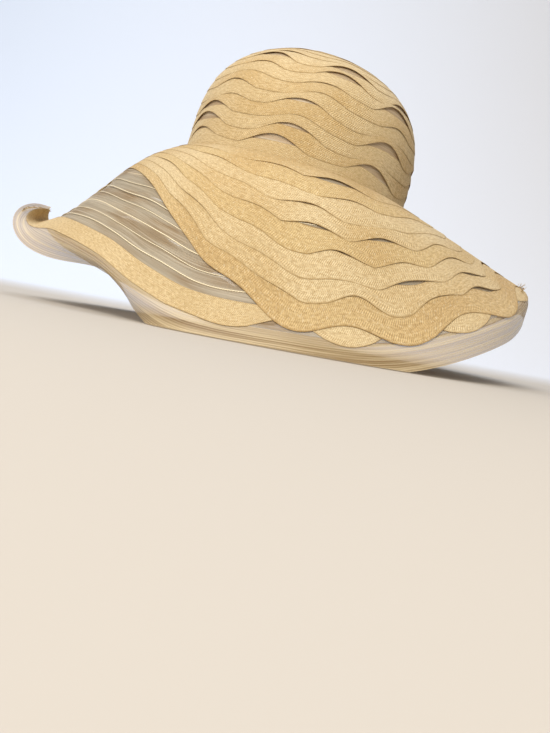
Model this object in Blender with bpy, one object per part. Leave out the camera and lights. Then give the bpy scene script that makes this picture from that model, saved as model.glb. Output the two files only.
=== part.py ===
"""Wide-brim organza hat, resting on the rim of its brim.

Metres, +Z up, -Y the front of the hat. The origin is at the middle of the hat's outline, on the surface it
rests on. Azimuths are degrees round the crown: 0 is +X, 90 the back, 180 -X and 270 the front.

A sheer organza crown and brim carry wavy rows of straw braid, sewn side by side so that they touch at
their crests and leave narrow lens-shaped gaps. A band of stiff sheer crin finishes the rim.
"""
import math
from typing import NamedTuple

import bpy
import numpy as np
from mathutils import Matrix, Vector

# Crown: a soft oval cup, nearly upright at the base and rounded over the tip.
CROWN_HALF_WIDTH = 0.094
CROWN_HALF_DEPTH = 0.099
CROWN_HEIGHT = 0.105
CROWN_SQUARENESS = 3.55
CROWN_LEAN = math.radians(6)
CROWN_BASE_HEIGHT = 0.135

# Walls and the gap that separate pieces keep.
ORGANZA_THICKNESS = 0.0010
BRAID_THICKNESS = 0.0012
BORDER_THICKNESS = 0.0016
PIECE_GAP = 0.0003
BRAID_LIFT = ORGANZA_THICKNESS + 0.0005

# Braid rows: shares of the way from tip to base on the crown, and from root to edge on the brim.
CROWN_SEGMENTS = 48
CROWN_ROWS = 9
CROWN_TIP_SHARE = 0.13
CROWN_CAP_SHARE = 0.05
CROWN_LAST_SHARE = 0.975
CROWN_WAVES = 8
# The seams of the crown braid that have a ring of the crown cloth under them.
CROWN_CLOTH_SEAMS = (0, 1, 2, 3, 4, 5, 7)
BRIM_SEGMENTS = 60
BRIM_ROWS = 7
BRIM_FIRST_SHARE = 0.035
BRIM_LAST_SHARE = 0.98
BRIM_WAVES = 10
ROW_WAVE = 0.0030
ROW_GAP = 0.0006
LENS_OPENING = 0.0045
ROW_PHASE = 2.4
LENS_LAG = 0.6

# Sheer window: the rows bunch up towards the crown at the front left and leave bare organza.
WINDOW_AZIMUTH = 200
WINDOW_REACH_LEFT = 30
WINDOW_REACH_RIGHT = 90
WINDOW_BUNCHING = 0.57
# How much of the bunching each inner ring of the brim cloth follows, from the crown outwards.
ORGANZA_PULLS = (1, 1, 1, 1, 0.5, 0)

# Crin border: a band that turns from the brim's slope to its own within a share of its width.
BORDER_WIDTH = 0.022
BORDER_STEPS = 4
BORDER_TURN_SHARE = 0.5
BORDER_GAP = 0.0012


class Section(NamedTuple):
    """A radial section of the brim: where its edge lies, and how it falls, in degrees below level."""

    azimuth: float
    edge_reach: float
    edge_height: float
    root_fall: float
    edge_fall: float
    border_fall: float


BRIM_SECTIONS = (
    Section(0, 0.209, 0.082, 15, 22, 100),
    Section(30, 0.213, 0.059, 18, 42, 78),
    Section(60, 0.207, 0.026, 22, 58, 60),
    Section(90, 0.191, 0.012, 24, 62, 52),
    Section(120, 0.198, 0.029, 22, 58, 56),
    Section(150, 0.205, 0.058, 20, 46, 44),
    Section(164, 0.206, 0.062, 19, 34, -10),
    Section(176, 0.208, 0.065, 18, 24, -125),
    Section(188, 0.203, 0.060, 18, 26, -60),
    Section(202, 0.191, 0.057, 19, 42, 90),
    Section(222, 0.176, 0.044, 22, 50, 165),
    Section(236, 0.171, 0.027, 26, 56, 125),
    Section(250, 0.167, 0.014, 28, 58, 75),
    Section(270, 0.165, 0.012, 30, 60, 56),
    Section(298, 0.176, 0.018, 28, 58, 64),
    Section(330, 0.196, 0.053, 20, 42, 84),
)
BRIM_HANDLE = 0.36

# Colours as the cloth shows them, in linear light, and how rough each cloth is.
STRAW_TAN = (0.62, 0.45, 0.24)
SHEER_BEIGE = (0.60, 0.51, 0.36)
SHEER_IVORY = (0.70, 0.64, 0.50)
STRAW_ROUGHNESS = 0.75
ORGANZA_ROUGHNESS = 0.45
CRIN_ROUGHNESS = 0.35
SHARP_EDGE = math.radians(50)


def section_value(column, azimuth):
    """One column of the brim table at any azimuth, read as a smooth closed curve."""
    knots = [section.azimuth for section in BRIM_SECTIONS]
    values = [getattr(section, column) for section in BRIM_SECTIONS]
    count = len(knots)
    knots = [knots[-1] - 360] + knots + [360, knots[1] + 360]
    values = [values[-1]] + values + [values[0], values[1]]
    azimuth %= 360
    at = next(i for i in range(1, count + 1) if knots[i] <= azimuth < knots[i + 1])
    span = knots[at + 1] - knots[at]
    part = (azimuth - knots[at]) / span
    slopes = [(values[i + 1] - values[i - 1]) / (knots[i + 1] - knots[i - 1]) * span for i in (at, at + 1)]
    rise = values[at + 1] - values[at]
    return (
        values[at]
        + part * slopes[0]
        + part**2 * (3 * rise - 2 * slopes[0] - slopes[1])
        + part**3 * (slopes[0] + slopes[1] - 2 * rise)
    )


def crown_profile():
    """Width and height shares of the crown's side, at even steps of its length from tip to base."""
    turn = np.linspace(math.pi / 2, 0, 600)
    width = np.cos(turn)
    height = np.sin(turn) ** (2 / CROWN_SQUARENESS)
    steps = np.hypot(np.diff(width) * CROWN_HALF_WIDTH, np.diff(height) * CROWN_HEIGHT)
    length = np.concatenate(([0], np.cumsum(steps)))
    return length / length[-1], width, height, length[-1]


PROFILE_SHARE, PROFILE_WIDTH, PROFILE_HEIGHT, CROWN_LENGTH = crown_profile()
CROWN_FRAME = Matrix.Translation((0, 0, CROWN_BASE_HEIGHT)) @ Matrix.Rotation(CROWN_LEAN, 4, "Y")


def crown_point(azimuth, share):
    """Inner face of the crown, share 0 at the middle of the tip and 1 at the base."""
    width = float(np.interp(share, PROFILE_SHARE, PROFILE_WIDTH))
    height = float(np.interp(share, PROFILE_SHARE, PROFILE_HEIGHT))
    turn = math.radians(azimuth)
    across = CROWN_HALF_WIDTH * width * math.cos(turn)
    along = CROWN_HALF_DEPTH * width * math.sin(turn)
    return CROWN_FRAME @ Vector((across, along, CROWN_HEIGHT * height))


def falling(azimuth, fall):
    """Unit direction outwards at an azimuth, a number of degrees below level."""
    turn = math.radians(azimuth)
    drop = math.radians(fall)
    return Vector((math.cos(turn) * math.cos(drop), math.sin(turn) * math.cos(drop), -math.sin(drop)))


def brim_root(azimuth):
    """Inner edge of the brim, just outside the foot of the crown."""
    turn = math.radians(azimuth)
    clear = ORGANZA_THICKNESS + PIECE_GAP
    across = (CROWN_HALF_WIDTH + clear) * math.cos(turn)
    along = (CROWN_HALF_DEPTH + clear) * math.sin(turn)
    return CROWN_FRAME @ Vector((across, along, 0))


def brim_edge(azimuth):
    """Outer edge of the brim cloth, where the border is sewn on."""
    turn = math.radians(azimuth)
    reach = section_value("edge_reach", azimuth)
    return Vector((reach * math.cos(turn), reach * math.sin(turn), section_value("edge_height", azimuth)))


def brim_point(azimuth, share):
    """Under face of the brim, share 0 at the crown and 1 at its edge, as a Bezier curve."""
    root = brim_root(azimuth)
    edge = brim_edge(azimuth)
    handle = BRIM_HANDLE * (edge - root).length
    leaving = root + handle * falling(azimuth, section_value("root_fall", azimuth))
    arriving = edge - handle * falling(azimuth, section_value("edge_fall", azimuth))
    rest = 1 - share
    return (
        rest**3 * root
        + 3 * rest**2 * share * leaving
        + 3 * rest * share**2 * arriving
        + share**3 * edge
    )


def border_point(azimuth, share):
    """Under face of the border. Where it meets the surface the hat rests on, it lies flat on it."""
    start = section_value("edge_fall", azimuth)
    end = section_value("border_fall", azimuth)
    step = BORDER_WIDTH / BORDER_STEPS
    point = brim_edge(azimuth) + BORDER_GAP * falling(azimuth, start)
    done = share * BORDER_STEPS
    for index in range(BORDER_STEPS):
        turned = min(1, (index + 0.5) / (BORDER_STEPS * BORDER_TURN_SHARE))
        fall = start + (end - start) * turned
        move = step * min(1, max(0, done - index))
        beyond = point + move * falling(azimuth, fall)
        if beyond.z < 0:
            beyond = point + move * falling(azimuth, 0)
            beyond.z = 0
        point = beyond
    return point


def outward(surface, azimuth, share):
    """Unit normal of a surface, on the side that shows from above."""
    turn = 0.5
    slide = 0.01
    low = max(0, share - slide)
    high = min(1, share + slide)
    along = surface(azimuth, high) - surface(azimuth, low)
    around = surface(azimuth + turn, share) - surface(azimuth - turn, share)
    return along.cross(around).normalized()


def window(azimuth):
    """How far the sheer window is open at an azimuth: 0 away from it, 1 in its middle."""
    offset = (azimuth - WINDOW_AZIMUTH + 180) % 360 - 180
    reach = WINDOW_REACH_LEFT if offset < 0 else WINDOW_REACH_RIGHT
    return math.cos(math.pi / 2 * min(1, abs(offset) / reach)) ** 2


def seam(index, azimuth, waves, swing):
    """Where the seam between two rows runs, and how far the lens gap in it opens to each side."""
    phase = math.radians(azimuth) * waves + index * ROW_PHASE
    opening = ROW_GAP / 2 + LENS_OPENING / 2 * max(0, math.cos(phase - LENS_LAG)) ** 2
    return swing * math.sin(phase), opening


def crown_seam(index, azimuth):
    """Share and opening of a seam of the crown, calmer and with fewer waves towards the tip."""
    share = CROWN_TIP_SHARE + (CROWN_LAST_SHARE - CROWN_TIP_SHARE) / CROWN_ROWS * index
    width = float(np.interp(share, PROFILE_SHARE, PROFILE_WIDTH))
    waves = max(3, round(CROWN_WAVES * width))
    swing, opening = seam(index, azimuth, waves, ROW_WAVE * width)
    return share + swing / CROWN_LENGTH, opening / CROWN_LENGTH


def crown_row(row):
    """The shares of a crown row's upper and lower edge at an azimuth, as a function."""

    def shares(azimuth):
        upper, upper_opening = crown_seam(row, azimuth)
        lower, lower_opening = crown_seam(row + 1, azimuth)
        if row == CROWN_ROWS - 1:
            lower = CROWN_LAST_SHARE
        return upper + upper_opening, lower - lower_opening

    return shares


def brim_seam(index, azimuth):
    """Share of a seam of the brim before any bunching, and its wave and opening, calm beside the sheer window."""
    length = (brim_edge(azimuth) - brim_root(azimuth)).length
    share = BRIM_FIRST_SHARE + (BRIM_LAST_SHARE - BRIM_FIRST_SHARE) / BRIM_ROWS * index
    swing = 0 if index in (0, BRIM_ROWS) else ROW_WAVE * (1 - window(azimuth))
    wave, opening = seam(index, azimuth, BRIM_WAVES, swing)
    return share, wave / length, opening / length


def brim_row(row):
    """The shares of a brim row's inner and outer edge at an azimuth, as a function."""

    def shares(azimuth):
        inner, inner_wave, inner_opening = brim_seam(row, azimuth)
        outer, outer_wave, outer_opening = brim_seam(row + 1, azimuth)
        if row < BRIM_ROWS - 1:
            bunched = 1 - WINDOW_BUNCHING * window(azimuth)
            inner *= bunched
            outer *= bunched
        return inner + inner_wave + inner_opening, outer + outer_wave - outer_opening

    return shares


def even_azimuths(count):
    return [360 * index / count for index in range(count)]


def cloth_material(name, colour, roughness):
    material = bpy.data.materials.new(name)
    material.use_nodes = True
    shader = material.node_tree.nodes["Principled BSDF"]
    shader.inputs["Base Color"].default_value = (*colour, 1)
    shader.inputs["Roughness"].default_value = roughness
    shader.inputs["Metallic"].default_value = 0
    return material


def ring_sheet(name, surface, azimuths, shares, lift, thickness, material, capped=False):
    """A closed band on a surface, from its first share to its last, thickened outwards."""
    columns = []
    for azimuth in azimuths:
        column = [surface(azimuth, at) + lift * outward(surface, azimuth, at) for at in shares(azimuth)]
        columns.append(column)
    rows = len(columns[0])
    points = [point for column in columns for point in column]
    faces = []
    for index in range(len(columns)):
        beside = (index + 1) % len(columns)
        for row in range(rows - 1):
            corner = index * rows + row
            across = beside * rows + row
            faces.append((corner, corner + 1, across + 1, across))
    if capped:
        faces.append([index * rows for index in range(len(columns))])
    mesh = bpy.data.meshes.new(name)
    mesh.from_pydata(points, [], faces)
    mesh.shade_smooth()
    mesh.set_sharp_from_angle(angle=SHARP_EDGE)
    mesh.materials.append(material)
    piece = bpy.data.objects.new(name, mesh)
    bpy.context.scene.collection.objects.link(piece)
    wall = piece.modifiers.new("wall", "SOLIDIFY")
    wall.thickness = thickness
    wall.offset = 1
    wall.use_even_offset = True
    return piece


def build_crown():
    organza = cloth_material("crown_organza", SHEER_BEIGE, ORGANZA_ROUGHNESS)
    braid = cloth_material("crown_straw_braid", STRAW_TAN, STRAW_ROUGHNESS)
    azimuths = even_azimuths(CROWN_SEGMENTS)
    pitch = (CROWN_LAST_SHARE - CROWN_TIP_SHARE) / CROWN_ROWS
    rings = [CROWN_TIP_SHARE + pitch * seam for seam in CROWN_CLOTH_SEAMS] + [1]
    ring_sheet(
        "crown_organza", crown_point, azimuths, lambda azimuth: rings,
        0, ORGANZA_THICKNESS, organza, capped=True,
    )
    for row in range(CROWN_ROWS):
        name = f"crown_braid_{row + 1:02d}"
        ring_sheet(name, crown_point, azimuths, crown_row(row), BRAID_LIFT, BRAID_THICKNESS, braid)

    def tip_shares(azimuth):
        seam_share, opening = crown_seam(0, azimuth)
        return CROWN_CAP_SHARE, seam_share - opening

    ring_sheet(
        "crown_braid_tip", crown_point, azimuths, tip_shares,
        BRAID_LIFT, BRAID_THICKNESS, braid, capped=True,
    )


def build_brim():
    organza = cloth_material("brim_organza", SHEER_BEIGE, ORGANZA_ROUGHNESS)
    braid = cloth_material("brim_straw_braid", STRAW_TAN, STRAW_ROUGHNESS)
    crin = cloth_material("brim_crin", SHEER_IVORY, CRIN_ROUGHNESS)
    azimuths = even_azimuths(BRIM_SEGMENTS)
    pitch = (BRIM_LAST_SHARE - BRIM_FIRST_SHARE) / BRIM_ROWS
    inner_rings = [BRIM_FIRST_SHARE + pitch * row for row in range(1, BRIM_ROWS)]

    def organza_shares(azimuth):
        bare = WINDOW_BUNCHING * window(azimuth)
        return [0] + [ring * (1 - bare * pull) for ring, pull in zip(inner_rings, ORGANZA_PULLS)] + [1]

    ring_sheet("brim_organza", brim_point, azimuths, organza_shares, 0, ORGANZA_THICKNESS, organza)
    for row in range(BRIM_ROWS):
        name = f"brim_braid_{row + 1:02d}"
        ring_sheet(name, brim_point, azimuths, brim_row(row), BRAID_LIFT, BRAID_THICKNESS, braid)
    steps = [index / BORDER_STEPS for index in range(BORDER_STEPS + 1)]
    ring_sheet("brim_border", border_point, azimuths, lambda azimuth: steps, 0, BORDER_THICKNESS, crin)


def centre_on_outline():
    """Moves the origin to the middle of the hat's outline, seen from above."""
    bpy.context.view_layer.update()
    depsgraph = bpy.context.evaluated_depsgraph_get()
    low = Vector((math.inf, math.inf))
    high = Vector((-math.inf, -math.inf))
    for piece in bpy.context.scene.objects:
        solid = piece.evaluated_get(depsgraph).to_mesh()
        for vertex in solid.vertices:
            low = Vector((min(low.x, vertex.co.x), min(low.y, vertex.co.y)))
            high = Vector((max(high.x, vertex.co.x), max(high.y, vertex.co.y)))
    middle = (low + high) / 2
    for piece in bpy.context.scene.objects:
        piece.location = (-middle.x, -middle.y, 0)


for old in list(bpy.data.objects):
    bpy.data.objects.remove(old, do_unlink=True)
build_crown()
build_brim()
centre_on_outline()
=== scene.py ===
import math

import bmesh
import bpy
import numpy as np
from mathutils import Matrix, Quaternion, Vector


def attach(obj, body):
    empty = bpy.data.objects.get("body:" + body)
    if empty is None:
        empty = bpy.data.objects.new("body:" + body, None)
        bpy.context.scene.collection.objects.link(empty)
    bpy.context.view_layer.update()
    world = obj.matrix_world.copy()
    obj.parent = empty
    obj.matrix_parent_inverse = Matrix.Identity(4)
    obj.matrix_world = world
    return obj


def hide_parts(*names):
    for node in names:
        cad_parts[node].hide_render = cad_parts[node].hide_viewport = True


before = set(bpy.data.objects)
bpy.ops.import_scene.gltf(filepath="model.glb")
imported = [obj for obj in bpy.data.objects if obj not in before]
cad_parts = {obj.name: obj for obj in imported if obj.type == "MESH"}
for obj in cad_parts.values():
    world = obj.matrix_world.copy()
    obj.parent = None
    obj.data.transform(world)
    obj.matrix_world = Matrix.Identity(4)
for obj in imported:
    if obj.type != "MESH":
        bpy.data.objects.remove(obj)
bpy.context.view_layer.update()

# The hat's front faces -Y. Azimuths are degrees round the crown, from +X at its right side by way of the back, and
# shares run from 0 to 1 along a face, from the crown's tip to its foot or from the foot to the edge of the brim.

# The crown cloth is a cup of silk organza, blocked to a soft oval and left open below. It carries the braid and
# shows only where the braid leaves a gap, a darker tan than the straw because the hollow behind it is dark.
CROWN_HALF_WIDTH = 0.094
CROWN_HALF_DEPTH = 0.099
CROWN_HEIGHT = 0.105
CROWN_SQUARENESS = 3.55
CROWN_LEAN = math.radians(6)
CROWN_BASE = (0.00156, -0.01316, 0.135)
CLOTH_LIFT = 0.0006
CROWN_ORGANZA = "E2CBAA"
CROWN_ORGANZA_SHADE = "C8AD88"
CROWN_ORGANZA_COVER = 0.92
CROWN_CLOTH_AROUND = 120
CROWN_CLOTH_DOWN = 40
CROWN_ROUND = 0.60
ORGANZA_GLINT = "F0E8D4"
ORGANZA_THREADS = (12, 90, 1)
ORGANZA_PATCHES = (17, 10, 1)
WELD_DISTANCE = 1e-6

PROFILE_TURN = np.linspace(math.pi / 2, 0, 600)
PROFILE_WIDTH = np.cos(PROFILE_TURN)
PROFILE_HEIGHT = np.sin(PROFILE_TURN) ** (2 / CROWN_SQUARENESS)
profile_steps = np.hypot(np.diff(PROFILE_WIDTH) * CROWN_HALF_WIDTH, np.diff(PROFILE_HEIGHT) * CROWN_HEIGHT)
profile_length = np.concatenate(([0], np.cumsum(profile_steps)))
CROWN_LENGTH = profile_length[-1]
PROFILE_SHARE = profile_length / CROWN_LENGTH


def leaned(across, along, height):
    """Points of the crown's own frame, leaned to the right and set over the brim."""
    return np.stack((
        CROWN_BASE[0] + across * math.cos(CROWN_LEAN) + height * math.sin(CROWN_LEAN),
        CROWN_BASE[1] + along,
        CROWN_BASE[2] - across * math.sin(CROWN_LEAN) + height * math.cos(CROWN_LEAN),
    ), axis=-1)


def crown_face(azimuth, share):
    """Inner face of the crown, share 0 at the middle of the tip and 1 at its foot."""
    width = np.interp(share, PROFILE_SHARE, PROFILE_WIDTH)
    height = CROWN_HEIGHT * np.interp(share, PROFILE_SHARE, PROFILE_HEIGHT)
    turn = np.radians(azimuth)
    return leaned(CROWN_HALF_WIDTH * width * np.cos(turn), CROWN_HALF_DEPTH * width * np.sin(turn), height)


def lifted(face, azimuth, share, lift):
    """Points a distance outside a face of the hat."""
    turn = 0.4
    slide = 0.004
    beside = np.maximum(share, 2 * slide)
    along = face(azimuth, beside + slide) - face(azimuth, beside - slide)
    around = face(azimuth + turn, beside) - face(azimuth - turn, beside)
    normal = np.cross(along, around)
    normal /= np.maximum(np.linalg.norm(normal, axis=-1, keepdims=True), 1e-12)
    return face(azimuth, share) + np.asarray(lift)[..., None] * normal


def band(name, around, across, place, length, first=0, last=360, pole=False):
    """A band of cloth, as a grid bent round the hat and closed where its ends meet, and at the pole where it has
    one. Its UV map has metres round the hat and shares across."""
    mesh = bpy.data.meshes.new(name)
    sheet = bmesh.new()
    weave = sheet.loops.layers.uv.new("weave")
    bmesh.ops.create_grid(sheet, x_segments=around, y_segments=across, size=0.5)
    for face in sheet.faces:
        for loop in face.loops:
            loop[weave].uv = ((loop.vert.co.x + 0.5) * length, loop.vert.co.y + 0.5)
    spots = np.array([vert.co[:2] for vert in sheet.verts]) + 0.5
    for vert, point in zip(sheet.verts, place(first + spots[:, 0] * (last - first), spots[:, 1])):
        vert.co = point
    if pole:
        middle = [vert for vert, spot in zip(sheet.verts, spots) if spot[1] < 0.5 / across]
        bmesh.ops.pointmerge(sheet, verts=middle, merge_co=middle[0].co)
    bmesh.ops.remove_doubles(sheet, verts=sheet.verts, dist=WELD_DISTANCE)
    bmesh.ops.reverse_faces(sheet, faces=sheet.faces)
    sheet.to_mesh(mesh)
    sheet.free()
    mesh.shade_smooth()
    piece = bpy.data.objects.new(name, mesh)
    bpy.context.scene.collection.objects.link(piece)
    return piece


def linear(colour):
    """An sRGB hex colour as linear RGBA."""
    shares = [int(colour[at:at + 2], 16) / 255 for at in (0, 2, 4)]
    return (*[c / 12.92 if c <= 0.04045 else ((c + 0.055) / 1.055) ** 2.4 for c in shares], 1)


def new_material(name):
    made = bpy.data.materials.new(name)
    made.use_nodes = True
    made.node_tree.nodes.clear()
    return made


def add(made, kind, inputs=None, **settings):
    """Adds a node with its settings, and links or sets its inputs."""
    node = made.node_tree.nodes.new(kind)
    for name, value in settings.items():
        setattr(node, name, value)
    for socket, value in (inputs or {}).items():
        if isinstance(value, bpy.types.NodeSocket):
            made.node_tree.links.new(value, node.inputs[socket])
        else:
            node.inputs[socket].default_value = value
    return node


def blend_colours(made, share, first, second):
    """A node socket that goes from the first colour to the second."""
    mixed = add(made, "ShaderNodeMix", {0: share, 6: first, 7: second}, data_type="RGBA")
    return mixed.outputs[2]


def spread(made, share, low, high, to_low=0.0, to_high=1.0):
    """A node socket with a range of values stretched to another range."""
    ranged = add(made, "ShaderNodeMapRange", {0: share, 1: low, 2: high, 3: to_low, 4: to_high})
    return ranged.outputs[0]


def stretched_noise(made, place, scale, detail):
    """Noise over a map that is scaled by its own amount each way."""
    scaled = add(made, "ShaderNodeMapping", {"Vector": place, "Scale": scale})
    return add(made, "ShaderNodeTexNoise", {"Vector": scaled.outputs[0], "Scale": 1.0, "Detail": detail})


def lit_through(made, tint, bump, share, surface):
    """Thin cloth or straw: a surface, mixed with a share of the light that comes through from behind."""
    normal = bump.outputs[0]
    front = add(made, "ShaderNodeBsdfPrincipled", {"Base Color": tint, "Normal": normal, **surface})
    glow = add(made, "ShaderNodeBsdfTranslucent", {"Color": tint, "Normal": normal})
    return add(made, "ShaderNodeMixShader", {0: share, 1: front.outputs[0], 2: glow.outputs[0]})


def maths(made, operation, *values):
    """A node socket with the result of one operation on numbers or sockets."""
    return add(made, "ShaderNodeMath", dict(enumerate(values)), operation=operation).outputs[0]


def organza_material(name, colour, shade, cover):
    """Silk organza: a sheer plain weave of fine glossy threads. Its real threads, 0.2 mm apart, are too fine to
    show, so they are drawn as soft streaks about 1.5 mm apart. Faint patches are doubled or creased cloth."""
    made = new_material(name)
    coords = add(made, "ShaderNodeTexCoord")
    threads = stretched_noise(made, coords.outputs["UV"], ORGANZA_THREADS, 3.0)
    patches = stretched_noise(made, coords.outputs["UV"], ORGANZA_PATCHES, 2.0)
    streak = spread(made, threads.outputs[0], 0.3, 0.7)
    patch = spread(made, patches.outputs[0], 0.38, 0.58)
    tint = blend_colours(made, patch, linear(shade), linear(colour))
    tint = blend_colours(made, spread(made, threads.outputs[0], 0.5, 0.7, 0, 0.7), tint, linear(ORGANZA_GLINT))
    bump = add(made, "ShaderNodeBump", {"Strength": 0.35, "Distance": 0.0006, "Height": streak})
    body = lit_through(made, tint, bump, 0.45, {"Roughness": 0.42, "Sheen Weight": 0.15})
    clear = add(made, "ShaderNodeBsdfTransparent")
    dense = maths(made, "MULTIPLY_ADD", streak, 0.16, maths(made, "MULTIPLY_ADD", patch, -0.14, cover))
    sheer = add(made, "ShaderNodeMixShader", {0: dense, 1: clear.outputs[0], 2: body.outputs[0]})
    add(made, "ShaderNodeOutputMaterial", {"Surface": sheer.outputs[0]})
    return made


def place_crown_cloth(azimuth, across):
    return lifted(crown_face, azimuth, across, np.full(azimuth.shape, CLOTH_LIFT))


crown_cloth = band("crown_cloth", CROWN_CLOTH_AROUND, CROWN_CLOTH_DOWN, place_crown_cloth, CROWN_ROUND, pole=True)
crown_cloth.data.materials.append(
    organza_material("crown_silk_organza", CROWN_ORGANZA, CROWN_ORGANZA_SHADE, CROWN_ORGANZA_COVER)
)
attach(crown_cloth, "root")
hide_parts("crown_organza")


# The crown braid is knitted straw, a soft flat band about 14 mm wide, sewn round and round the crown in waves.
# Each row lies over the top edge of the next one down, and at many crests two rows part in a lens-shaped gap.
BRAID_THICKNESS = 0.0003
BRAID_TUCK = 0.25
BRAID_LOW_LIFT = 0.0009
BRAID_RISE = 0.0006
BRAID_LENS_RISE = 0.0006
BRAID_CAMBER = 0.0001
GOLDEN_STRAW = ("E9D4A3", "DCC18D", "AE8E58")
PALE_STRAW = ("EFDEB6", "E0CA9C", "B49562")
# A darker copy of the golden straw: painted shade for the row that turns down over the rim.
SHADE_PAINTED_STRAW = ("E5CD9B", "D6B883", "A58450")
STRAW_GLINT = "F8E9C8"
STITCH_LENGTH = 0.0016
STITCH_RIBS = 5.5
STITCH_SLANT = 1.4
STRAW_FIBRES = (260, 16, 1)
STRAW_FLECKS = (620, 9, 1)
ROW_AROUND = 420
ROW_ACROSS = 6
TIP_AROUND = 160
SEAM_MIX = (0.80, 0.38, 0.12)
LENS_STRAY = 5
LENS_SIZES = (-0.15, 1.0)
LENS_LEAST_SIZE = 0.05
LENS_LEAST_REACH = 0.55
LENS_REACH_GROWTH = 0.45
LENS_TAPER = 1.5
CROWN_ROWS = 15
CROWN_FIRST_SHARE = 0.06
CROWN_LAST_SHARE = 0.998
CROWN_WAVES = 8
CROWN_SWING = 0.0027
CROWN_TIP_SWING = 0.3
CROWN_SWING_ROWS = 8
CROWN_DRIFT = 0.45
CROWN_LENS_REACH = 0.031
CROWN_LENS_UP = 0.0078
CROWN_LENS_DOWN = 0.0040
CROWN_LENS_ROWS = 4
CROWN_SEAM_SEED = 100
CROWN_LENS_SEED = 300
CROWN_CAD_ROWS = 9


def straw_material(name, light, mean_tone, dark):
    """Knitted straw braid: matt, dry plant fibre in a fine slanting knit, with light and dark straws side by side.
    The real stitches are 1.2 mm apart and are drawn 1.6 mm apart, so that they show. Its edges are darkened
    with painted shade along the seams, and light from behind comes through golden."""
    made = new_material(name)
    coords = add(made, "ShaderNodeTexCoord")
    apart = add(made, "ShaderNodeSeparateXYZ", {0: coords.outputs["UV"]})
    ribs = maths(made, "MULTIPLY", apart.outputs[1], STITCH_RIBS)
    zigzag = maths(made, "PINGPONG", ribs, 1.0)
    stitch = maths(made, "MULTIPLY", apart.outputs[0], 1 / STITCH_LENGTH)
    slant = maths(made, "MULTIPLY_ADD", zigzag, STITCH_SLANT, stitch)
    knit = maths(made, "SINE", maths(made, "MULTIPLY", slant, math.tau))
    fibres = stretched_noise(made, coords.outputs["UV"], STRAW_FIBRES, 5.0)
    flecks = stretched_noise(made, coords.outputs["UV"], STRAW_FLECKS, 2.0)
    fade = add(made, "ShaderNodeTexNoise", {"Vector": coords.outputs["Object"], "Scale": 16.0, "Detail": 3.0})
    mean = blend_colours(made, spread(made, fade.outputs[0], 0.35, 0.65), linear(mean_tone), linear(light))
    worn = blend_colours(made, spread(made, fibres.outputs[0], 0.62, 0.36, 0, 0.55), mean, linear(dark))
    tint = blend_colours(made, spread(made, flecks.outputs[0], 0.56, 0.70, 0, 0.5), worn, linear(STRAW_GLINT))
    tint = blend_colours(made, spread(made, knit, 0.3, -0.9, 0, 0.24), tint, linear(dark))
    # Painted shade along the seams: the outer twentieth of the band's width on each side is darkened, more in some
    # places than others.
    from_middle = maths(made, "ABSOLUTE", maths(made, "ADD", apart.outputs[1], -0.5))
    painted_seam_shade = spread(made, fade.outputs[0], 0.42, 0.60, 0.25, 0.85)
    edge = maths(made, "MULTIPLY", spread(made, from_middle, 0.45, 0.5), painted_seam_shade)
    tint = blend_colours(made, edge, tint, linear(dark))
    rough = maths(made, "MULTIPLY_ADD", fibres.outputs[0], 0.3, 0.6)
    height = maths(made, "MULTIPLY_ADD", fibres.outputs[0], 1.2, knit)
    bump = add(made, "ShaderNodeBump", {"Strength": 0.5, "Distance": 0.0005, "Height": height})
    surface = {"Roughness": rough, "Sheen Weight": 0.12, "Specular IOR Level": 0.35}
    body = lit_through(made, tint, bump, 0.28, surface)
    add(made, "ShaderNodeOutputMaterial", {"Surface": body.outputs[0]})
    return made


def seam_curve(seed, waves, phase, swing):
    """The run of one seam round the hat: even waves that lie nearly over those of the next seam, made a little
    uneven by a longer and a shorter wave."""
    chance = np.random.default_rng(seed)
    phases = chance.uniform(0, math.tau, 2)

    def run(azimuth):
        turn = np.radians(azimuth)
        return swing * (
            SEAM_MIX[0] * np.sin(waves * turn + phase)
            + SEAM_MIX[1] * np.sin((waves - 3) * turn + phases[0])
            + SEAM_MIX[2] * np.sin((2 * waves - 1) * turn + phases[1])
        )

    return run


def lens_curve(seed, waves, phase, half_length, radius):
    """How far a seam parts round the hat, 0 to 1: a lens-shaped gap at the crests of its waves, each its own size
    and a few of them nearly shut."""
    chance = np.random.default_rng(seed)
    strays = chance.uniform(-LENS_STRAY, LENS_STRAY, waves)
    crests = (np.arange(waves) * 360 - math.degrees(phase) - 90) / waves + strays
    sizes = np.maximum(chance.uniform(*LENS_SIZES, waves), LENS_LEAST_SIZE)

    def run(azimuth):
        opening = np.zeros(azimuth.shape)
        for crest, size in zip(crests, sizes):
            away = np.abs((azimuth - crest + 180) % 360 - 180) * math.pi / 180 * radius
            reach = half_length * (LENS_LEAST_REACH + LENS_REACH_GROWTH * size)
            opening = np.maximum(opening, size * np.clip(1 - (away / reach) ** 2, 0, None) ** LENS_TAPER)
        return opening

    return run


def braid_row(
    name, face, upper, lower, parting, length, around=ROW_AROUND, across=ROW_ACROSS, rise=BRAID_RISE, pole=False,
):
    """One row of braid between two edges given as shares of a face. Its lower edge lies over the next row, and
    stands a little off where the seam parts."""

    def place(azimuth, down):
        top = upper(azimuth)
        share = top + (lower(azimuth) - top) * down
        lift = BRAID_LOW_LIFT + (rise + BRAID_LENS_RISE * parting(azimuth)) * down
        lift = lift + BRAID_CAMBER * np.sin(math.pi * down)
        return lifted(face, azimuth, share, lift)

    row = band(name, around, across, place, length, pole=pole)
    wall = row.modifiers.new("straw thickness", "SOLIDIFY")
    wall.thickness = BRAID_THICKNESS
    wall.offset = 1
    flat = row.modifiers.new("flat to the edge", "WEIGHTED_NORMAL")
    flat.weight = 100
    return row


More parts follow.
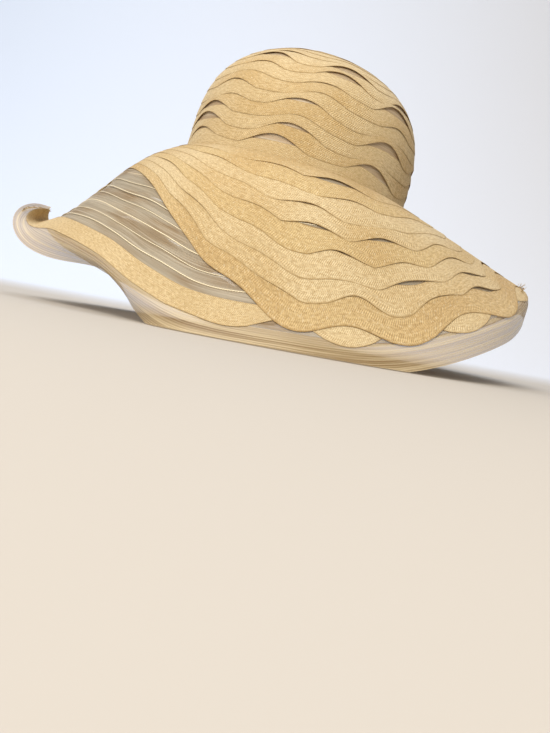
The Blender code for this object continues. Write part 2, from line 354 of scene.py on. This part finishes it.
straws = (
    straw_material("golden_knitted_straw_braid", *GOLDEN_STRAW),
    straw_material("pale_knitted_straw_braid", *PALE_STRAW),
    straw_material("sun_bleached_straw_braid", PALE_STRAW[0], GOLDEN_STRAW[1], GOLDEN_STRAW[2]),
)
# Painted shade: a darker straw for the row that turns down over the rim.
shade_painted_straw = straw_material("shade_painted_straw_braid", *SHADE_PAINTED_STRAW)
crown_pitch = (CROWN_LAST_SHARE - CROWN_FIRST_SHARE) / CROWN_ROWS
crown_swings = [
    CROWN_SWING * min(1, CROWN_TIP_SWING + seam / CROWN_SWING_ROWS) / CROWN_LENGTH
    for seam in range(CROWN_ROWS + 1)
]
crown_seams = [
    seam_curve(CROWN_SEAM_SEED + seam, CROWN_WAVES, CROWN_DRIFT * seam, swing)
    for seam, swing in enumerate(crown_swings)
]
crown_lenses = [
    lens_curve(CROWN_LENS_SEED + seam, CROWN_WAVES, CROWN_DRIFT * seam, CROWN_LENS_REACH, CROWN_HALF_WIDTH)
    for seam in range(CROWN_ROWS + 1)
]


def crown_row_edges(row):
    """Upper and lower edge of a crown row as functions of the azimuth. The gaps grow over the first rows."""
    top = CROWN_FIRST_SHARE + crown_pitch * row
    foot = top + crown_pitch
    tuck = BRAID_TUCK * crown_pitch

    def upper(azimuth):
        if row == 0:
            return np.zeros(azimuth.shape)
        small = min(1, row / CROWN_LENS_ROWS)
        lens = small * CROWN_LENS_DOWN / CROWN_LENGTH * crown_lenses[row](azimuth)
        return top + crown_seams[row](azimuth) - tuck + lens

    def lower(azimuth):
        if row == CROWN_ROWS - 1:
            return np.full(azimuth.shape, foot)
        small = min(1, (row + 1) / CROWN_LENS_ROWS)
        lens = small * CROWN_LENS_UP / CROWN_LENGTH * crown_lenses[row + 1](azimuth)
        return foot + crown_seams[row + 1](azimuth) + tuck - lens

    return upper, lower


for row in range(CROWN_ROWS):
    upper, lower = crown_row_edges(row)
    width = float(np.interp(CROWN_FIRST_SHARE + crown_pitch * (row + 0.5), PROFILE_SHARE, PROFILE_WIDTH))
    braid = braid_row(
        f"crown_straw_{row + 1:02d}", crown_face, upper, lower, crown_lenses[row + 1],
        math.tau * CROWN_HALF_WIDTH * width, around=ROW_AROUND if row else TIP_AROUND, pole=row == 0,
    )
    braid.data.materials.append(straws[1 + row % 2])
    cad_row = math.ceil(row * CROWN_CAD_ROWS / CROWN_ROWS)
    stands_for = f"crown_braid_{cad_row:02d}" if row else "crown_braid_tip"
    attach(braid, "root")
    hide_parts(stands_for)


# The brim cloth is one circle of the same organza, blocked to a bell that droops at the front and back and less
# at the sides. At the front left it is left bare, a sheer window with faint darker patches where it lies double.
class Section:
    """A radial section of the brim: where its edge lies, and how it falls, in degrees below level."""

    columns = ("edge_reach", "edge_height", "root_fall", "edge_fall", "border_fall")

    def __init__(self, azimuth, *values):
        self.azimuth = azimuth
        self.values = dict(zip(self.columns, values))


BRIM_SECTIONS = (
    Section(0, 0.209, 0.082, 15, 22, 100),
    Section(30, 0.213, 0.059, 18, 42, 78),
    Section(60, 0.207, 0.026, 22, 58, 60),
    Section(90, 0.191, 0.012, 24, 62, 52),
    Section(120, 0.198, 0.029, 22, 58, 56),
    Section(150, 0.205, 0.058, 20, 46, 44),
    Section(164, 0.206, 0.062, 19, 34, -10),
    Section(176, 0.208, 0.065, 18, 24, -125),
    Section(188, 0.203, 0.060, 18, 26, -60),
    Section(202, 0.191, 0.057, 19, 42, 90),
    Section(222, 0.176, 0.044, 22, 50, 165),
    Section(236, 0.171, 0.027, 26, 56, 125),
    Section(250, 0.167, 0.014, 28, 58, 75),
    Section(270, 0.165, 0.012, 30, 60, 56),
    Section(298, 0.176, 0.018, 28, 58, 64),
    Section(330, 0.196, 0.053, 20, 42, 84),
)
BRIM_HANDLE = 0.36
BRIM_ROOT_CLEAR = 0.0013
WINDOW_AZIMUTH = 200
WINDOW_REACH_LEFT = 30
WINDOW_REACH_RIGHT = 90
WINDOW_BUNCHING = 0.57
ORGANZA_BEIGE = "E4D9C3"
ORGANZA_SHADE = "B39A78"
ORGANZA_COVER = 0.66
RIPPLE_HEIGHT = 0.0009
RIPPLE_TURN = 21
RIPPLE_SWAY = 1.5
RIPPLE_SWAYS = 3
BRIM_CLOTH_AROUND = 240
BRIM_CLOTH_ACROSS = 36
BRIM_ROUND = 0.95


def section_value(column, azimuth):
    """One column of the brim table at any azimuths, read as a smooth closed curve."""
    knots = np.array([section.azimuth for section in BRIM_SECTIONS], float)
    values = np.array([section.values[column] for section in BRIM_SECTIONS], float)
    knots = np.concatenate(([knots[-1] - 360], knots, [360, knots[1] + 360]))
    values = np.concatenate(([values[-1]], values, [values[0], values[1]]))
    azimuth = np.asarray(azimuth) % 360
    at = np.clip(np.searchsorted(knots, azimuth, side="right") - 1, 1, len(knots) - 3)
    span = knots[at + 1] - knots[at]
    part = (azimuth - knots[at]) / span
    leaving = (values[at + 1] - values[at - 1]) / (knots[at + 1] - knots[at - 1]) * span
    arriving = (values[at + 2] - values[at]) / (knots[at + 2] - knots[at]) * span
    rise = values[at + 1] - values[at]
    return (
        values[at]
        + part * leaving
        + part**2 * (3 * rise - 2 * leaving - arriving)
        + part**3 * (leaving + arriving - 2 * rise)
    )


def falling(azimuth, fall):
    """Unit directions outwards at azimuths, a number of degrees below level."""
    turn = np.radians(azimuth)
    drop = np.radians(fall)
    return np.stack((np.cos(turn) * np.cos(drop), np.sin(turn) * np.cos(drop), -np.sin(drop)), axis=-1)


def brim_root(azimuth):
    turn = np.radians(azimuth)
    across = (CROWN_HALF_WIDTH + BRIM_ROOT_CLEAR) * np.cos(turn)
    along = (CROWN_HALF_DEPTH + BRIM_ROOT_CLEAR) * np.sin(turn)
    return leaned(across, along, np.zeros(across.shape))


def brim_edge(azimuth):
    turn = np.radians(azimuth)
    reach = section_value("edge_reach", azimuth)
    return np.stack((
        CROWN_BASE[0] + reach * np.cos(turn),
        CROWN_BASE[1] + reach * np.sin(turn),
        section_value("edge_height", azimuth),
    ), axis=-1)


def brim_face(azimuth, share):
    """Under face of the brim, share 0 at the crown and 1 at its edge."""
    root = brim_root(azimuth)
    edge = brim_edge(azimuth)
    handle = BRIM_HANDLE * np.linalg.norm(edge - root, axis=-1, keepdims=True)
    leaving = root + handle * falling(azimuth, section_value("root_fall", azimuth))
    arriving = edge - handle * falling(azimuth, section_value("edge_fall", azimuth))
    share = np.asarray(share)[..., None]
    rest = 1 - share
    return rest**3 * root + 3 * rest**2 * share * leaving + 3 * rest * share**2 * arriving + share**3 * edge


def window_open(azimuth):
    """How far the sheer window is open at azimuths: 0 away from it, 1 in its middle."""
    offset = (np.asarray(azimuth) - WINDOW_AZIMUTH + 180) % 360 - 180
    reach = np.where(offset < 0, WINDOW_REACH_LEFT, WINDOW_REACH_RIGHT)
    return np.cos(math.pi / 2 * np.minimum(1, np.abs(offset) / reach)) ** 2


def place_brim_cloth(azimuth, across):
    """The brim cloth lies in low ripples where the window leaves it free."""
    sway = RIPPLE_SWAY * np.sin(RIPPLE_SWAYS * np.radians(azimuth))
    ripple = RIPPLE_HEIGHT * window_open(azimuth) * np.sin(across * RIPPLE_TURN + sway)
    return lifted(brim_face, azimuth, across, CLOTH_LIFT + ripple * np.sin(math.pi * across))


brim_cloth = band("brim_cloth", BRIM_CLOTH_AROUND, BRIM_CLOTH_ACROSS, place_brim_cloth, BRIM_ROUND)
brim_cloth.data.materials.append(
    organza_material("brim_silk_organza", ORGANZA_BEIGE, ORGANZA_SHADE, ORGANZA_COVER)
)
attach(brim_cloth, "root")
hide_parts("brim_organza")


# The brim braid is the same knitted straw in a band about 19 mm wide, in waves about 58 mm long whatever the row.
# The last two rows swing in turn over the rim, like a plait, and the rows before them follow less and less. Beside
# the sheer window all rows but the last bunch up towards the crown, and the last one follows the rim.
BRIM_ROWS = 9
BRIM_CAD_ROWS = 7
BRIM_FIRST_SHARE = 0.0
BRIM_RIM_SHARE = 0.930
BRIM_WAVE_LENGTH = 0.058
BRIM_SWING = 0.0015
BRIM_RISE = 0.0005
BRIM_DRIFT = 0.5
BRIM_LENS_REACH = 0.033
BRIM_LENS_UP = 0.0068
BRIM_LENS_DOWN = 0.0042
BRIM_ROOT_RADIUS = 0.100
BRIM_ROW_STEP = 0.0115
BRIM_MEAN_LENGTH = 0.120
BRIM_ROW_AROUND = 540
BRIM_SEAM_SEED = 500
BRIM_LENS_SEED = 740

BORDER_WIDTH = 0.0225
BORDER_GAP = 0.0003
BORDER_STEPS = 12
BORDER_TURN_SHARE = 0.5
RIM_OVERHANG = 0.020
RIM_WINDOW_DRAW = 0.6
RIM_ROW_TUCK = 0.04
RIM_WINDOW_TUCK = 0.01
RIM_ROW_ACROSS = 24
RIM_PLAIT_WAVES = 12
RIM_PLAIT_SWING = 0.055
RIM_PLAIT_MIDDLE = 0.985
RIM_PLAIT_PHASE = 3.95
RIM_PLAIT_FOLLOWED = 0.6
EAR_MIDDLE = 177
EAR_REACH = 28
EAR_COVER = 0.168


def border_face(azimuth, share):
    """Under face of the border, followed in small steps from the brim's edge."""
    start = section_value("edge_fall", azimuth)
    end = section_value("border_fall", azimuth)
    step = BORDER_WIDTH / BORDER_STEPS
    point = brim_edge(azimuth) + BORDER_GAP * falling(azimuth, start)
    done = np.asarray(share) * BORDER_STEPS
    for index in range(BORDER_STEPS):
        fall = start + (end - start) * min(1, (index + 0.5) / (BORDER_STEPS * BORDER_TURN_SHARE))
        move = step * np.clip(done - index, 0, 1)[..., None]
        beyond = point + move * falling(azimuth, fall)
        low = beyond[..., 2] < 0
        flat = point + move * falling(azimuth, np.zeros(azimuth.shape))
        flat[..., 2] = 0
        point = np.where(low[..., None], flat, beyond)
    return point


def rim_face(azimuth, share):
    """The brim carried on over the border: past share 1 it follows the border."""
    past = np.clip((share - 1) * BRIM_MEAN_LENGTH / BORDER_WIDTH, 0, 1)
    over = (share > 1)[..., None]
    return np.where(over, border_face(azimuth, past), brim_face(azimuth, np.minimum(share, 1)))


brim_radii = [BRIM_ROOT_RADIUS + BRIM_ROW_STEP * seam for seam in range(BRIM_ROWS + 1)]
brim_waves = [round(math.tau * radius / BRIM_WAVE_LENGTH) for radius in brim_radii]
brim_seams = [
    seam_curve(BRIM_SEAM_SEED + seam, brim_waves[seam], BRIM_DRIFT * seam, BRIM_SWING / BRIM_MEAN_LENGTH)
    for seam in range(BRIM_ROWS + 1)
]
brim_lenses = [
    lens_curve(BRIM_LENS_SEED + seam, brim_waves[seam], BRIM_DRIFT * seam, BRIM_LENS_REACH, brim_radii[seam])
    for seam in range(BRIM_ROWS + 1)
]
brim_pitch = (BRIM_RIM_SHARE - BRIM_FIRST_SHARE) / (BRIM_ROWS - 1)


def ear_curl(azimuth):
    """1 in the middle of the curled ear, 0 away from it."""
    return np.cos(math.pi / 2 * np.clip((azimuth - EAR_MIDDLE) / EAR_REACH, -1, 1)) ** 2


def brim_row_edges(row):
    """Inner and outer edge of a brim row as functions of the azimuth."""
    inner = BRIM_FIRST_SHARE + brim_pitch * row
    outer = inner + (1 + BRAID_TUCK) * brim_pitch
    rim_row = row == BRIM_ROWS - 1

    def plait(azimuth, followed):
        """The plait's swing, less for each row that only follows it."""
        swing = RIM_PLAIT_SWING * np.sin(RIM_PLAIT_WAVES * np.radians(azimuth) + RIM_PLAIT_PHASE)
        return RIM_PLAIT_FOLLOWED**followed * swing

    def plaited(azimuth, ear):
        """1 where the rim is plaited, 0 in the ear and where the window is at least half open."""
        return np.clip(1 - 2 * window_open(azimuth), 0, 1) * (1 - ear)

    def upper(azimuth):
        bare = window_open(azimuth)
        if row == 0:
            return np.full(azimuth.shape, BRIM_FIRST_SHARE)
        if rim_row:
            return BRIM_RIM_SHARE - RIM_ROW_TUCK + RIM_WINDOW_TUCK * bare
        swing = brim_seams[row](azimuth) + BRIM_LENS_DOWN / BRIM_MEAN_LENGTH * brim_lenses[row](azimuth)
        swing = swing * (1 - bare) - plait(azimuth, BRIM_ROWS - 1 - row) * plaited(azimuth, ear_curl(azimuth))
        return (inner - BRAID_TUCK * brim_pitch) * (1 - WINDOW_BUNCHING * bare) + swing

    def lower(azimuth):
        bare = window_open(azimuth)
        ear = ear_curl(azimuth)
        if rim_row:
            edge = 1 + RIM_OVERHANG * (1 - RIM_WINDOW_DRAW * bare)
            swung = (RIM_PLAIT_MIDDLE - edge + plait(azimuth, 0)) * plaited(azimuth, ear)
            return edge + swung + (1 + EAR_COVER - edge) * ear
        swung = plait(azimuth, BRIM_ROWS - 2 - row) * plaited(azimuth, ear)
        bunched = outer * (1 - WINDOW_BUNCHING * bare)
        if row == BRIM_ROWS - 2:
            return bunched + (RIM_PLAIT_MIDDLE - outer) * plaited(azimuth, ear) - swung
        swing = brim_seams[row + 1](azimuth) - BRIM_LENS_UP / BRIM_MEAN_LENGTH * brim_lenses[row + 1](azimuth)
        return bunched + swing * (1 - bare) - swung

    return upper, lower


for row in range(BRIM_ROWS):
    upper, lower = brim_row_edges(row)
    over_rim = row >= BRIM_ROWS - 2
    braid = braid_row(
        f"brim_straw_{row + 1:02d}", rim_face if over_rim else brim_face, upper, lower, brim_lenses[row + 1],
        math.tau * brim_radii[row], around=BRIM_ROW_AROUND, across=RIM_ROW_ACROSS if over_rim else ROW_ACROSS,
        rise=0 if row == BRIM_ROWS - 1 else BRIM_RISE,
    )
    # The row before the rim row gets the darker straw, painted shade where it turns down over the rim.
    braid.data.materials.append(shade_painted_straw if row == BRIM_ROWS - 2 else straws[(row + 2) % len(straws)])
    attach(braid, "root")
    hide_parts(f"brim_braid_{min(BRIM_CAD_ROWS, math.ceil((row + 1) * BRIM_CAD_ROWS / BRIM_ROWS)):02d}")


# Seven pale threads cross the bare organza of the window, side by side with the rim. They are loose, shiny viscose
# floss, thick and thin in turn at 0.6 and 0.4 mm, 0.29 to 0.34 m long and caught under the braid at both ends.
THREAD_FIRST = 167
THREAD_LAST = 279
THREAD_LENGTH = 0.34
THREAD_WIDTH = 0.0006
THREAD_THINNED = 0.4
THREAD_THICKNESS = 0.0004
THREAD_BULGE = 0.4
THREAD_LIFT = 0.0010
THREAD_END_LIFT = 0.6
THREAD_LIFT_GAIN = 0.4
THREAD_PLACES = (0.05, 0.11, 0.18, 0.25, 0.31, 0.38, 0.45)
THREAD_WANDER = 0.006
THREAD_WANDERS = 13
THREAD_LAG = 9
THREAD_GATHER = 0.55
THREAD_OPENING = 0.45
THREAD_GATHER_REACH = 35
THREAD_CELLS = (240, 4)
FLOSS_TWIST = 0.002
FLOSS_PALE = "E4DAC1"
FLOSS_SHADE = "C6B99B"


def floss_material(name):
    """Viscose floss: smooth bright filaments with a soft twist, drawn 2 mm long where the real one is 1 mm."""
    made = new_material(name)
    coords = add(made, "ShaderNodeTexCoord")
    apart = add(made, "ShaderNodeSeparateXYZ", {0: coords.outputs["UV"]})
    run = maths(made, "MULTIPLY", apart.outputs[0], math.tau / FLOSS_TWIST)
    twist = maths(made, "SINE", maths(made, "MULTIPLY_ADD", apart.outputs[1], math.pi, run))
    tint = blend_colours(made, spread(made, twist, -1, 1), linear(FLOSS_SHADE), linear(FLOSS_PALE))
    bump = add(made, "ShaderNodeBump", {"Strength": 0.4, "Distance": 0.0003, "Height": twist})
    surface = {"Base Color": tint, "Normal": bump.outputs[0], "Roughness": 0.3}
    floss = add(made, "ShaderNodeBsdfPrincipled", surface)
    add(made, "ShaderNodeOutputMaterial", {"Surface": floss.outputs[0]})
    return made


rim_row_edge = brim_row_edges(BRIM_ROWS - 1)[0]
window_floss = floss_material("pale_viscose_floss")
for number, away in enumerate(THREAD_PLACES):
    width = THREAD_WIDTH * (1 - THREAD_THINNED * (number % 2))

    def place_thread(azimuth, across):
        """One thread: it keeps its distance from the rim, wanders a little, and is gathered towards the ear."""
        wander = THREAD_WANDER * np.sin(np.radians(azimuth) * THREAD_WANDERS + THREAD_LAG * away)
        gather = THREAD_GATHER + THREAD_OPENING * np.clip((azimuth - THREAD_FIRST) / THREAD_GATHER_REACH, 0, 1)
        share = rim_row_edge(azimuth) - away * gather + wander
        share = share + (across - 0.5) * width / BRIM_MEAN_LENGTH
        lift = THREAD_LIFT * (THREAD_END_LIFT + THREAD_LIFT_GAIN * window_open(azimuth))
        return lifted(brim_face, azimuth, share, lift + THREAD_BULGE * width * np.sin(math.pi * across))

    thread = band(
        f"window_thread_{number + 1}", *THREAD_CELLS, place_thread, THREAD_LENGTH, THREAD_FIRST, THREAD_LAST,
    )
    filaments = thread.modifiers.new("floss thickness", "SOLIDIFY")
    filaments.thickness = THREAD_THICKNESS
    filaments.offset = 0
    thread.data.materials.append(window_floss)
    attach(thread, "root")


# The border is crin, a stiff sheer band of shiny horsehair-like threads 22.5 mm wide, sewn to the brim's edge. It
# curls up in an ear at the far left, tucks under at the front left and turns down at the right. It lies flat where
# it rests.
CRIN_IVORY = "E3D0A9"
CRIN_SHADE = "A98A5B"
CRIN_GLINT = "F0E6CC"
CRIN_THREADS = 14.0
CRIN_STREAKS = (6, 9, 1)
BORDER_CELLS = (420, 16)
BORDER_ROUND = 1.30


def crin_material(name):
    """Crin: a stiff open mesh of shiny clear-to-ivory threads that mostly run round the rim. The real ones are
    0.5 mm apart and are drawn 1.6 mm apart, so that they show. It is sheer between them and glints along them."""
    made = new_material(name)
    coords = add(made, "ShaderNodeTexCoord")
    apart = add(made, "ShaderNodeSeparateXYZ", {0: coords.outputs["UV"]})
    wander = add(made, "ShaderNodeTexNoise", {"Vector": coords.outputs["Object"], "Scale": 45.0, "Detail": 1.0})
    lines = maths(made, "MULTIPLY", apart.outputs[1], CRIN_THREADS * math.tau)
    ridge = maths(made, "SINE", maths(made, "MULTIPLY_ADD", wander.outputs[0], 5.0, lines))
    streaks = stretched_noise(made, coords.outputs["UV"], CRIN_STREAKS, 3.0)
    thread = spread(made, ridge, -0.2, 1.0)
    streak = spread(made, streaks.outputs[0], 0.35, 0.65)
    tint = blend_colours(made, streak, linear(CRIN_SHADE), linear(CRIN_IVORY))
    tint = blend_colours(made, spread(made, ridge, -0.2, 1.0, 0, 0.25), tint, linear(CRIN_GLINT))
    bump = add(made, "ShaderNodeBump", {"Strength": 0.2, "Distance": 0.0005, "Height": thread})
    body = lit_through(made, tint, bump, 0.4, {"Roughness": 0.32})
    clear = add(made, "ShaderNodeBsdfTransparent")
    dense = maths(made, "MULTIPLY_ADD", thread, 0.16, spread(made, streaks.outputs[0], 0.3, 0.7, 0.6, 0.8))
    sheer = add(made, "ShaderNodeMixShader", {0: dense, 1: clear.outputs[0], 2: body.outputs[0]})
    add(made, "ShaderNodeOutputMaterial", {"Surface": sheer.outputs[0]})
    return made


def place_border(azimuth, across):
    return lifted(border_face, azimuth, across, np.full(azimuth.shape, CLOTH_LIFT))


border = band("rim_border", *BORDER_CELLS, place_border, BORDER_ROUND)
border.data.materials.append(crin_material("ivory_crin"))
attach(border, "root")
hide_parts("brim_border")


# Two raw ends of the braid are left frayed on the rim, one on the ear and one at the far right. They are loose
# straws 3 to 8 mm long and about 0.3 mm thick, bent all ways, drawn 0.4 mm thick so that they show.
FRAY_THICKNESS = 0.0004
FRAY_SHORT = 0.003
FRAY_LONG = 0.008
FRAY_STEPS = 5
FRAY_STRAWS = 26
FRAY_SIDES = 4
FRAY_OUTWARD = 0.6
FRAY_BEND = 0.6
FRAY_PROBE = 0.01
FRAY_SEED = 91
# Each end's azimuth, its share of the way over the rim, and how many degrees it reaches to either side.
FRAY_ENDS = (("ear_fray", 183.0, 1.163, 6.0), ("right_fray", 356.0, 0.985, 9.0))

chance = np.random.default_rng(FRAY_SEED)
for name, azimuth, share, reach in FRAY_ENDS:
    tuft = bmesh.new()
    for number in range(FRAY_STRAWS):
        at = np.array([azimuth + chance.uniform(-reach, reach)])
        root = lifted(rim_face, at, np.array([share]), np.array([BRAID_LOW_LIFT]))[0]
        away = lifted(rim_face, at, np.array([share]), np.array([FRAY_PROBE]))[0] - root
        around = (rim_face(at + 1, np.array([share])) - rim_face(at - 1, np.array([share])))[0]
        away = away / np.linalg.norm(away)
        around = around / np.linalg.norm(around) * chance.choice((-1, 1))
        bend = chance.normal(0, FRAY_BEND, 3)
        length = chance.uniform(FRAY_SHORT, FRAY_LONG)
        ring = bmesh.ops.create_circle(
            tuft, segments=FRAY_SIDES, radius=FRAY_THICKNESS / 2, cap_ends=True,
        )["verts"]
        heading = Vector(away * FRAY_OUTWARD + around)
        bmesh.ops.rotate(tuft, verts=ring, matrix=heading.to_track_quat("Z", "Y").to_matrix())
        bmesh.ops.translate(tuft, verts=ring, vec=Vector(root))
        face = ring[0].link_faces[0]
        for step in range(FRAY_STEPS):
            heading = Vector(away * FRAY_OUTWARD + around + bend * (step + 1) / FRAY_STEPS).normalized()
            grown = bmesh.ops.extrude_face_region(tuft, geom=[face])["geom"]
            ends = [part for part in grown if isinstance(part, bmesh.types.BMVert)]
            bmesh.ops.translate(tuft, verts=ends, vec=heading * length / FRAY_STEPS)
            bmesh.ops.delete(tuft, geom=[face], context="FACES_ONLY")
            face = next(part for part in grown if isinstance(part, bmesh.types.BMFace))
    bmesh.ops.recalc_face_normals(tuft, faces=tuft.faces)
    fray_mesh = bpy.data.meshes.new(name)
    tuft.to_mesh(fray_mesh)
    tuft.free()
    fray_mesh.shade_smooth()
    fray = bpy.data.objects.new(name, fray_mesh)
    bpy.context.scene.collection.objects.link(fray)
    fray_mesh.uv_layers.new(name="weave")
    fray_mesh.materials.append(straws[0])
    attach(fray, "root")


# The studio is a pale seamless sweep under soft daylight from the upper left, with a cool wall light behind that
# comes through the sheer cloth. The camera stands just above the floor, at the photo's side of the hat.
SWEEP_WIDTH = 24.0
SWEEP_FRONT = -4.5
SWEEP_BACK = 0.9
SWEEP_BEND = 2.0
SWEEP_TOP = 5.0
SWEEP_STEPS = 48
PAPER_FLOOR = "B4AFA9"
# The wall paper is bluer at the left and nearer neutral at the right: a painted cast of cool daylight from the
# left.
PAPER_WALL_LEFT = "DEE9FB"
PAPER_WALL_RIGHT = "E6E7EC"
DAYLIGHT = "F5EEE2"
DAYLIGHT_STRENGTH = 0.60

sweep_mesh = bpy.data.meshes.new("studio_sweep")
sweep = bmesh.new()
outline = [(SWEEP_FRONT, 0.0)]
for step in range(SWEEP_STEPS + 1):
    turn = math.pi / 2 * step / SWEEP_STEPS
    outline.append((SWEEP_BACK + SWEEP_BEND * math.sin(turn), SWEEP_BEND * (1 - math.cos(turn))))
outline.append((SWEEP_BACK + SWEEP_BEND, SWEEP_TOP))
verts = [sweep.verts.new((-SWEEP_WIDTH / 2, y, z)) for y, z in outline]
edges = [sweep.edges.new(pair) for pair in zip(verts, verts[1:])]
grown = bmesh.ops.extrude_edge_only(sweep, edges=edges)["geom"]
far_side = [part for part in grown if isinstance(part, bmesh.types.BMVert)]
bmesh.ops.translate(sweep, verts=far_side, vec=(SWEEP_WIDTH, 0, 0))
bmesh.ops.recalc_face_normals(sweep, faces=sweep.faces)
sweep.to_mesh(sweep_mesh)
sweep.free()
sweep_mesh.shade_smooth()
studio_sweep = bpy.data.objects.new("studio_sweep", sweep_mesh)
bpy.context.scene.collection.objects.link(studio_sweep)
paper = new_material("pale_paper_sweep")
paper_coords = add(paper, "ShaderNodeTexCoord")
paper_side = add(paper, "ShaderNodeSeparateXYZ", {0: paper_coords.outputs["Object"]})
# Painted cool daylight: the wall goes from bluer at the left to neutral at the right.
paper_across = spread(paper, paper_side.outputs[0], -1.5, 1.5)
paper_wall = blend_colours(paper, paper_across, linear(PAPER_WALL_LEFT), linear(PAPER_WALL_RIGHT))
paper_back = spread(paper, paper_side.outputs[1], 0.2, 1.0)
paper_tint = blend_colours(paper, paper_back, linear(PAPER_FLOOR), paper_wall)
paper_shader = add(paper, "ShaderNodeBsdfPrincipled", {"Base Color": paper_tint, "Roughness": 0.9})
add(paper, "ShaderNodeOutputMaterial", {"Surface": paper_shader.outputs[0]})
sweep_mesh.materials.append(paper)


def soft_light(name, place, aim, size, power, colour):
    """A square softbox that faces a point."""
    lamp = bpy.data.lights.new(name, "AREA")
    lamp.size = size
    lamp.energy = power
    lamp.color = linear(colour)[:3]
    holder = bpy.data.objects.new(name, lamp)
    holder.location = place
    holder.rotation_euler = (Vector(aim) - Vector(place)).to_track_quat("-Z", "Y").to_euler()
    bpy.context.scene.collection.objects.link(holder)


HAT_MIDDLE = Vector((0, 0, 0.11))
soft_light("key_window", (-0.6, -1.7, 1.4), HAT_MIDDLE, 1.1, 58, "FFF6E8")
soft_light("wall_wash", (-0.4, 0.7, 2.2), (-0.3, 1.7, 0.1), 2.0, 28, "EAF2FF")

world = bpy.data.worlds.new("studio_daylight")
world.use_nodes = True
sky = world.node_tree.nodes["Background"]
sky.inputs["Color"].default_value = linear(DAYLIGHT)
sky.inputs["Strength"].default_value = DAYLIGHT_STRENGTH
bpy.context.scene.world = world
bpy.context.scene.view_settings.view_transform = "Standard"

# The photo's lens is about 39 mm on a 36 mm tall frame. The camera is 0.72 m from the middle of the hat. It
# leans sideways, because the hat hangs down to the right in the photo.
FRAME_WIDTH = 550
FRAME_HEIGHT = 733
PHOTO_FOCAL = 800
SENSOR = 36
CAMERA_PLACE = Vector((0, -0.71, 0.020))
HAT_PIXEL = (286, 216)
SIDE_LEAN = math.radians(10.5)
lens = bpy.data.cameras.new("photo_lens")
lens.sensor_fit = "VERTICAL"
lens.sensor_height = SENSOR
lens.clip_start = 0.005
lens.lens = PHOTO_FOCAL / FRAME_HEIGHT * SENSOR
camera = bpy.data.objects.new("camera", lens)
bpy.context.scene.collection.objects.link(camera)
facing = (HAT_MIDDLE - CAMERA_PLACE).to_track_quat("-Z", "Y").to_matrix()
pixel_ray = Vector((
    (HAT_PIXEL[0] - FRAME_WIDTH / 2) / PHOTO_FOCAL, (FRAME_HEIGHT / 2 - HAT_PIXEL[1]) / PHOTO_FOCAL, -1,
))
lean = Quaternion((0, 0, 1), SIDE_LEAN).to_matrix()
onto_axis = pixel_ray.rotation_difference(Vector((0, 0, -1))).to_matrix()
camera.matrix_world = (facing @ lean @ onto_axis).to_4x4()
camera.location = CAMERA_PLACE
bpy.context.scene.camera = camera
